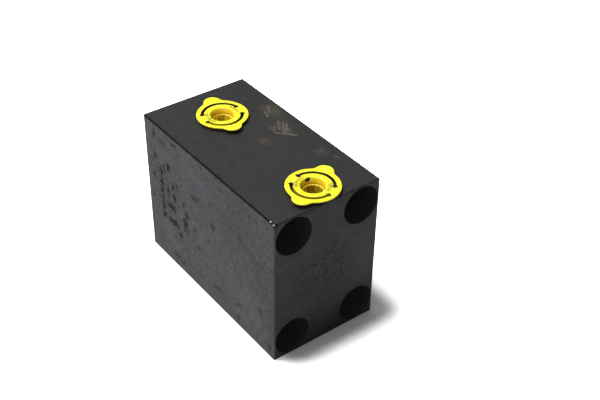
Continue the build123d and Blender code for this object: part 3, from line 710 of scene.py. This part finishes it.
def turned_metal(name, light, dark, rough, tint, rings=RINGS_Y, stain=0.25):
    """Bare or plated turned steel: fine rings, faint tinted patches, painted shade in corners,
    rubbed edges.

    rough is its least and greatest roughness.
    """
    material, tree = new_material(name)
    pos = position(tree)
    ring = (pos * rings).noise(1.0, detail=3.0, rough=0.7)
    fine = pos.noise(2.4, detail=5.0, rough=0.7)
    tone = ring * 0.45 + pos.noise(0.16, rough=0.6) * 0.55
    colour = mix(tone.rise(0.30, 0.70), dark, light)
    patches = (pos + (9.0, 4.0, 2.0)).noise(0.30, detail=6.0, rough=0.7).rise(0.55, 0.70)
    colour = colour.cover(tint, patches, amount=stain)
    # painted shade in corners and recesses
    crevice_shade = occlusion(tree, 1.2, samples=4).rise(0.75, 0.30)
    colour = colour.cover((0.03, 0.027, 0.022), crevice_shade, amount=0.5)
    rim, round_normal = edge(tree, 0.18, samples=4)
    rubbed = tuple(min(1.0, 1.25 * part) for part in light)
    height = ring * 0.7 + fine * 0.3
    principled(tree, {
        "Base Color": colour.cover(rubbed, rim, amount=0.5),
        "Roughness": mix(fine.rise(0.3, 0.7), *rough).cover(min(1.0, rough[1] + 0.25),
                                                            patches, amount=0.6),
        "Metallic": 0.95,
        "Normal": bump(height, strength=0.35, distance=0.02, Normal=round_normal),
    })
    return material


def rubber_material():
    material, tree = new_material("nitrile_rubber")
    pos = position(tree)
    slow = pos.noise(0.35, detail=3.0)
    fine = pos.noise(5.0, rough=0.7)
    bloom = pos.noise(0.8, detail=5.0, rough=0.7).rise(0.48, 0.70)
    colour = mix(slow.rise(0.3, 0.7), (0.012, 0.012, 0.013), (0.024, 0.024, 0.025))
    principled(tree, {
        "Base Color": colour.cover((0.060, 0.058, 0.054), bloom, amount=0.35),
        "Roughness": mix(bloom, 0.38, 0.62),
        "Specular IOR Level": 0.45,
        "Normal": bump(fine + slow * 0.5, strength=0.35, distance=0.03),
    })
    return material


def ptfe_material():
    material, tree = new_material("ptfe")
    pos = position(tree)
    lines = (pos * (0.3, 8.0, 0.3)).noise(1.0, detail=3.0)
    colour = mix(pos.noise(0.5, detail=3.0).rise(0.3, 0.7), (0.80, 0.79, 0.74), (0.88, 0.88, 0.85))
    yellowed = pos.noise(0.9, detail=5.0).rise(0.55, 0.7)
    principled(tree, {
        "Base Color": colour.cover((0.62, 0.57, 0.44), yellowed, amount=0.4),
        "Roughness": mix(lines, 0.35, 0.50),
        "Subsurface Weight": 0.25,
        "Subsurface Radius": (1.0, 1.0, 0.9),
        "Subsurface Scale": 0.0008,
        "Normal": bump(lines, strength=0.25, distance=0.02),
    })
    return material


STEEL = block_material()
METALS = {
    "zinc_plated_steel": dict(light=(0.60, 0.61, 0.63), dark=(0.40, 0.41, 0.43),
                              rough=(0.26, 0.42), tint=(0.33, 0.31, 0.24)),
    "hardened_steel": dict(light=(0.50, 0.49, 0.47), dark=(0.33, 0.32, 0.31),
                           rough=(0.18, 0.32), tint=(0.24, 0.19, 0.13)),
    "spring_steel": dict(light=(0.36, 0.35, 0.34), dark=(0.20, 0.19, 0.19),
                         rough=(0.30, 0.45), tint=(0.16, 0.12, 0.09)),
    "polished_ball_steel": dict(light=(0.72, 0.73, 0.74), dark=(0.58, 0.59, 0.60),
                                rough=(0.08, 0.16), tint=(0.45, 0.43, 0.38),
                                rings=RINGS_Z, stain=0.15),
}
MATERIALS = {
    "phosphated_steel": STEEL,
    **{name: turned_metal(name, **look) for name, look in METALS.items()},
    "nitrile_rubber": rubber_material(),
    "ptfe": ptfe_material(),
}
REAR_YELLOW = plug_material("yellow_polyethylene_rear", REAR_PORT_M, REAR_EAR,
                            dirt=[], depth_tone=1.0)
FRONT_YELLOW = plug_material("yellow_polyethylene_front", FRONT_PORT_M, FRONT_EAR,
                             dirt=[((1.0, 5.5, 1.5), (1.9, 0.80, 1.5))], depth_tone=0.62)
PLUG_MATERIALS = {"rear_port_plug": REAR_YELLOW, "front_port_plug": FRONT_YELLOW}

for part in frame["record"]["subparts"]:
    slots = nodes[part["node"]].data.materials
    slots.clear()
    slots.append(PLUG_MATERIALS.get(part["node"]) or MATERIALS[part["material_slot"]])


# ---------------------------------------------------------------- mesh tools
def welded(cad_node, mesh_name):
    """A copy of a CAD node's mesh in millimetres, with its split corners joined again."""
    shape = bmesh.new()
    shape.from_mesh(nodes[cad_node].data)
    bmesh.ops.scale(shape, vec=(MM, MM, MM), verts=shape.verts)
    bmesh.ops.remove_doubles(shape, verts=shape.verts, dist=0.0015)
    bmesh.ops.dissolve_degenerate(shape, edges=shape.edges, dist=0.0005)
    mesh = bpy.data.meshes.new(mesh_name)
    shape.to_mesh(mesh)
    shape.free()
    return mesh


def modified(mesh, *modifiers):
    """The mesh after some modifiers, each given as (type, settings)."""
    work = bpy.data.objects.new("work", mesh)
    scene.collection.objects.link(work)
    for kind, settings in modifiers:
        modifier = work.modifiers.new(kind.lower(), kind)
        for name, value in settings.items():
            setattr(modifier, name, value)
    bpy.context.view_layer.update()
    graph = bpy.context.evaluated_depsgraph_get()
    result = bpy.data.meshes.new_from_object(work.evaluated_get(graph), depsgraph=graph)
    bpy.data.objects.remove(work)
    return result


def smoothstep(start, end, values):
    share = np.clip((values - start) / (end - start), 0.0, 1.0)
    return share * share * (3.0 - 2.0 * share)


def add_piece(name, mesh, material, body, replaces, sharp=None):
    """Puts a finished millimetre mesh on a body; sharp is the angle of its hard edges."""
    mesh.name = name
    mesh.transform(Matrix.Scale(0.001, 4))
    mesh.materials.clear()
    mesh.materials.append(material)
    mesh.polygons.foreach_set("use_smooth", [True] * len(mesh.polygons))
    if sharp is not None:
        mesh.set_sharp_from_angle(angle=math.radians(sharp))
    mesh.update()
    obj = bpy.data.objects.new(name, mesh)
    scene.collection.objects.link(obj)
    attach(obj, body)
    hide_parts(replaces)
    return obj


# ---------------------------------------------------------------- transit plugs
def transit_plug(name, cad_node, body, port, ear, material, seed):
    """The moulded plug: soft edges, ears sprung up a little, ring not quite flat."""
    mesh = modified(welded(cad_node, name + "_rough"),
                    ("REMESH", {"mode": "VOXEL", "voxel_size": 0.125, "adaptivity": 0.0}),
                    ("SMOOTH", {"factor": 0.5, "iterations": 2}))
    flat = np.zeros(len(mesh.vertices) * 3, np.float32)
    mesh.vertices.foreach_get("co", flat)
    mouth = np.array(port) * MM
    points = flat.reshape(-1, 3).astype(float) - mouth
    radius = np.hypot(points[:, 0], points[:, 1])
    turn = np.arctan2(points[:, 1], points[:, 0]) - ear
    ring = smoothstep(9.5, 12.6, radius) * smoothstep(0.6, 1.2, points[:, 2])
    lift = 0.42 * smoothstep(10.8, 16.2, radius) * np.cos(turn) ** 2
    wave = 0.07 * np.sin(2.0 * turn + 1.1 + seed) + 0.05 * np.sin(3.0 * turn + 2.0 * seed)
    points[:, 2] += ring * (lift + wave)
    # the hub's top sinks slightly beside the hole
    hub = (smoothstep(1.6, 1.9, points[:, 2]) * smoothstep(6.3, 7.0, radius)
           * smoothstep(9.1, 8.4, radius))
    points[:, 2] -= 0.05 * hub
    mesh.vertices.foreach_set("co", (points + mouth).astype(np.float32).ravel())
    mesh.update()
    mesh = modified(mesh, ("DECIMATE", {"ratio": 0.42}))
    add_piece(name, mesh, material, body, cad_node)


# ---------------------------------------------------------------- check springs
WIRE = 0.5                                            # wire radius
TURNS = 7.0
STEPS_PER_TURN = 48
WIRE_SIDES = 18
CLOSED_PITCH = 2.0 * WIRE + 0.02                      # pitch of the closed end turns
GROUND = WIRE * 0.30                                  # wire centre's inset from a ground end


def coil_heights(turn, start, end):
    """The wire centre's y at each turn, from start to end, with closed turns at both ends."""
    fine = np.linspace(-1.0, TURNS + 1.0, 2401)
    step = fine[1] - fine[0]
    is_open = np.interp(fine, [0.9, 1.15, TURNS - 1.15, TURNS - 0.9], [0.0, 1.0, 1.0, 0.0])
    within = (fine >= 0) & (fine <= TURNS)
    # the open coils take up what the closed pitch leaves
    left_over = (end - start) - CLOSED_PITCH * TURNS
    pitch = CLOSED_PITCH + is_open * left_over / (np.sum(is_open[within]) * step)
    height = np.concatenate([[0.0], np.cumsum((pitch[1:] + pitch[:-1]) / 2 * step)])
    return np.interp(turn, fine, height - np.interp(0.0, fine, height)) + start


def check_spring(name, cad_node):
    """Compression spring about y, with ground ends."""
    low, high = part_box(cad_node)
    low_y, high_y = low.y * MM, high.y * MM
    coil_radius = (high.x - low.x) * 500.0 - WIRE
    turn = np.linspace(0.0, TURNS, int(TURNS * STEPS_PER_TURN) + 1)
    height = coil_heights(turn, low_y + GROUND, high_y - GROUND)
    angle = 2.0 * math.pi * turn
    centre = np.stack([coil_radius * np.cos(angle), height, coil_radius * np.sin(angle)], 1)
    tangent = np.gradient(centre, axis=0)
    tangent /= np.linalg.norm(tangent, axis=1)[:, None]
    outward = np.stack([np.cos(angle), np.zeros_like(angle), np.sin(angle)], 1)
    across = np.cross(tangent, outward)
    verts = []
    for i in range(len(turn)):
        for k in range(WIRE_SIDES):
            around = 2.0 * math.pi * k / WIRE_SIDES
            x, y, z = centre[i] + WIRE * (math.cos(around) * outward[i]
                                          + math.sin(around) * across[i])
            verts.append((x, min(max(y, low_y), high_y), z))
    faces = []
    for i in range(len(turn) - 1):
        this, following = i * WIRE_SIDES, (i + 1) * WIRE_SIDES
        for k in range(WIRE_SIDES):
            beside = (k + 1) % WIRE_SIDES
            faces.append((this + k, this + beside, following + beside, following + k))
    faces.append(tuple(range(WIRE_SIDES - 1, -1, -1)))
    faces.append(tuple((len(turn) - 1) * WIRE_SIDES + k for k in range(WIRE_SIDES)))
    mesh = bpy.data.meshes.new(name)
    mesh.from_pydata(verts, [], faces)
    shape = bmesh.new()
    shape.from_mesh(mesh)
    bmesh.ops.recalc_face_normals(shape, faces=shape.faces)
    shape.to_mesh(mesh)
    shape.free()
    spring = add_piece(name, mesh, MATERIALS["spring_steel"], "valve_block",
                       cad_node, sharp=40.0)
    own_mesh(spring)


# ---------------------------------------------------------------- block
ALONG_X, ALONG_Y, ALONG_Z = range(3)
# Dings on the arrises: centre, direction of the arris, radius across it, range of half lengths
DINGS = [
    ((-HALF_X, -21.0, HALF_Z), ALONG_Y, 0.42, (0.5, 0.9)),
    ((-HALF_X, -58.5, HALF_Z), ALONG_Y, 0.42, (0.5, 0.9)),
    ((-HALF_X, -83.0, HALF_Z), ALONG_Y, 0.42, (0.5, 0.9)),
    ((HALF_X, -12.0, HALF_Z), ALONG_Y, 0.42, (0.5, 1.0)),
    ((HALF_X, -47.0, HALF_Z), ALONG_Y, 0.42, (0.5, 1.0)),
    ((HALF_X, -90.0, HALF_Z), ALONG_Y, 0.42, (0.5, 1.0)),
    ((-HALF_X, -35.0, -HALF_Z), ALONG_Y, 0.42, (0.5, 0.9)),
    ((HALF_X, -41.0, -HALF_Z), ALONG_Y, 0.42, (0.5, 0.9)),
    ((-HALF_X, -99.0, -HALF_Z), ALONG_Y, 0.42, (0.5, 0.9)),
    ((HALF_X, -105.0, -HALF_Z), ALONG_Y, 0.42, (0.5, 0.9)),
    ((-4.0, -LENGTH, HALF_Z), ALONG_X, 0.40, (0.5, 0.9)),
    ((2.0, 0.0, HALF_Z), ALONG_X, 0.40, (0.5, 0.9)),
    ((13.0, -LENGTH, HALF_Z), ALONG_X, 0.40, (0.5, 0.9)),
    ((19.0, 0.0, HALF_Z), ALONG_X, 0.40, (0.5, 0.9)),
    ((-HALF_X, -LENGTH, -12.0), ALONG_Z, 0.38, (0.6, 1.1)),
    ((HALF_X, 0.0, -7.0), ALONG_Z, 0.38, (0.6, 1.1)),
    ((-HALF_X, -LENGTH, 17.0), ALONG_Z, 0.38, (0.6, 1.1)),
    ((HALF_X, 0.0, 22.0), ALONG_Z, 0.38, (0.6, 1.1)),
]


def add_chip(shape, rng, centre, size):
    """Adds a lumpy ellipsoid to a bmesh."""
    made = bmesh.ops.create_icosphere(shape, subdivisions=2, radius=1.0)["verts"]
    for vert in made:
        vert.co *= 1.0 + rng.uniform(-0.16, 0.16)
        vert.co = Vector([along * half for along, half in zip(vert.co, size)])
    bmesh.ops.translate(shape, verts=made, vec=centre)


def chip_cutter():
    """One object with every hollow to be cut from the block."""
    rng = random.Random(11)
    shape = bmesh.new()
    for (x, y, z), (half_x, half_y, _) in NICKS:
        add_chip(shape, rng, (x - 0.15, y, z + 0.25), (half_x * 0.95, half_y * 0.95, 0.55))
    for centre, axis, radius, half_lengths in DINGS:
        size = [radius] * 3
        size[axis] = rng.uniform(*half_lengths)
        add_chip(shape, rng, centre, size)
    mesh = bpy.data.meshes.new("chips")
    shape.to_mesh(mesh)
    shape.free()
    cutter = bpy.data.objects.new("chips", mesh)
    scene.collection.objects.link(cutter)
    return cutter


def worn_block():
    """The block with its knocked corner and small dings cut as real hollows."""
    mesh = welded("valve_body", "block")
    cutter = chip_cutter()
    mesh = modified(mesh, ("BOOLEAN", {"operation": "DIFFERENCE", "solver": "EXACT",
                                       "object": cutter}))
    bpy.data.objects.remove(cutter)
    block = add_piece("block", mesh, STEEL, "valve_block", "valve_body",
                      sharp=28.0)
    # the outer faces stay flat-shaded
    for poly in block.data.polygons:
        x, y, z = poly.center * MM
        if min(HALF_X - abs(x), -y, LENGTH + y, HALF_Z - abs(z)) < 0.02:
            poly.use_smooth = False


transit_plug("rear_plug_moulding", "rear_port_plug", "rear_transit_plug",
             REAR_PORT_M, REAR_EAR, REAR_YELLOW, seed=0.4)
transit_plug("front_plug_moulding", "front_port_plug", "front_transit_plug",
             FRONT_PORT_M, FRONT_EAR, FRONT_YELLOW, seed=2.1)
check_spring("rear_poppet_spring", "rear_check_spring")
check_spring("front_poppet_spring", "front_check_spring")
worn_block()


# ---------------------------------------------------------------- floor
FLOOR_HALF_M = 6.0
FLOOR_LAP = 0.6                                       # floor reaching in under the block


def paper_material():
    """Paper glowing white to the camera, except close to the block; clear from below."""
    material, tree = new_material("floor_paper")
    tone = position(tree).noise(0.02, detail=3.0)
    x, y, _ = position(tree).split()
    # distance from the block's footprint, its left edge moved in, with a noisy border
    soft = (position(tree).noise(0.10, detail=3.0, rough=0.6) - 0.5) * 2.0
    beyond_x = largest(abs(x - 8.0) - (HALF_X - 8.0 + 1.0), 0.0)
    beyond_y = largest(abs(y + LENGTH / 2) - LENGTH / 2, 0.0)
    gap = calc("SQRT", beyond_x * beyond_x * 0.74 + beyond_y * beyond_y * 1.10)
    openness = (gap + soft).rise(4.8, 21.5)
    near = (gap + soft).rise(13.0, 4.0)
    shadow = near * mix(x.rise(HALF_X - 3.0, HALF_X + 5.0), 0.46, 0.36)
    paper = mix(tone, (0.86, 0.86, 0.87), (0.90, 0.90, 0.905))
    seen = node(tree, "ShaderNodeLightPath", output="Is Camera Ray")
    diffuse = node(tree, "ShaderNodeBsdfDiffuse", {0: mix(shadow, paper, (0.0, 0.0, 0.012))})
    glow = node(tree, "ShaderNodeEmission", {0: (1.0, 1.0, 1.0), 1: openness * seen * 0.85})
    lit = node(tree, "ShaderNodeAddShader", {0: diffuse, 1: glow})
    below = node(tree, "ShaderNodeNewGeometry", output="Backfacing")
    clear = node(tree, "ShaderNodeBsdfTransparent")
    sheet = node(tree, "ShaderNodeMixShader", {0: below, 1: lit, 2: clear})
    put(tree.nodes.new("ShaderNodeOutputMaterial").inputs["Surface"], sheet)
    return material


def floor():
    """A sheet with an opening under the block, so that the underside is lit from below."""
    half_x = (HALF_X - FLOOR_LAP) / MM
    front, rear = -(LENGTH - FLOOR_LAP) / MM, -FLOOR_LAP / MM
    size = FLOOR_HALF_M
    outer = [(-size, -size), (size, -size), (size, size), (-size, size)]
    opening = [(-half_x, front), (half_x, front), (half_x, rear), (-half_x, rear)]
    mesh = bpy.data.meshes.new("floor")
    mesh.from_pydata([(x, y, BLOCK_LO_M.z) for x, y in outer + opening], [],
                     [(k, (k + 1) % 4, 4 + (k + 1) % 4, 4 + k) for k in range(4)])
    obj = bpy.data.objects.new("floor", mesh)
    scene.collection.objects.link(obj)
    mesh.materials.append(paper_material())


floor()


# ---------------------------------------------------------------- lights, world, camera
def area(name, location, side, power, colour):
    """A square light, side metres across, aimed at the middle of the block."""
    light = bpy.data.lights.new(name, "AREA")
    light.shape = "RECTANGLE"
    light.size = light.size_y = side
    light.energy = power
    light.color = colour
    obj = bpy.data.objects.new(name, light)
    scene.collection.objects.link(obj)
    obj.location = location
    aim = Vector((0.0, -LENGTH / 2000.0, 0.0)) - Vector(location)
    obj.rotation_euler = aim.to_track_quat("-Z", "Y").to_euler()


def studio_world():
    """White to the camera; as light, brighter from the upper left rear."""
    world = bpy.data.worlds.new("studio")
    scene.world = world
    world.use_nodes = True
    tree = world.node_tree
    tree.nodes.clear()
    direction = node(tree, "ShaderNodeTexCoord", output="Generated")
    facing = vector_calc("DOT_PRODUCT", direction, Vector((-0.85, 0.45, 0.28)).normalized())
    strength = node(tree, "ShaderNodeMapRange", {
        0: facing, "From Min": -0.9, "From Max": 0.9, "To Min": 0.20, "To Max": 0.80})
    lighting = node(tree, "ShaderNodeBackground", {0: (0.985, 0.99, 1.0), 1: strength})
    backdrop = node(tree, "ShaderNodeBackground", {0: (1.0, 1.0, 1.0), 1: 1.05})
    seen = node(tree, "ShaderNodeLightPath", output="Is Camera Ray")
    surface = node(tree, "ShaderNodeMixShader", {0: seen, 1: lighting, 2: backdrop})
    put(tree.nodes.new("ShaderNodeOutputWorld").inputs[0], surface)


def camera():
    lens = bpy.data.cameras.new("camera")
    obj = bpy.data.objects.new("camera", lens)
    scene.collection.objects.link(obj)
    lens.sensor_fit = "HORIZONTAL"
    lens.sensor_width = 36.0
    lens.lens = 61.69
    lens.clip_start, lens.clip_end = 0.01, 50.0
    obj.matrix_world = Matrix((
        (0.79740839, 0.35339500, -0.48913375, -0.23278131),
        (-0.60325703, 0.48680832, -0.63174252, -0.39056003),
        (0.01485974, 0.79883016, 0.60137306, 0.31509018),
        (0, 0, 0, 1)))
    scene.camera = obj


area("key_softbox", (-0.25, 0.17, 1.05), side=0.36, power=16.0, colour=(1.0, 0.995, 0.985))
area("left_panel", (-1.15, 0.05, 0.30), side=0.7, power=2.2, colour=(0.97, 0.985, 1.0))
studio_world()
camera()
scene.view_settings.view_transform = "Standard"
scene.view_settings.look = "None"
scene.view_settings.exposure = 0.0
scene.view_settings.gamma = 1.0
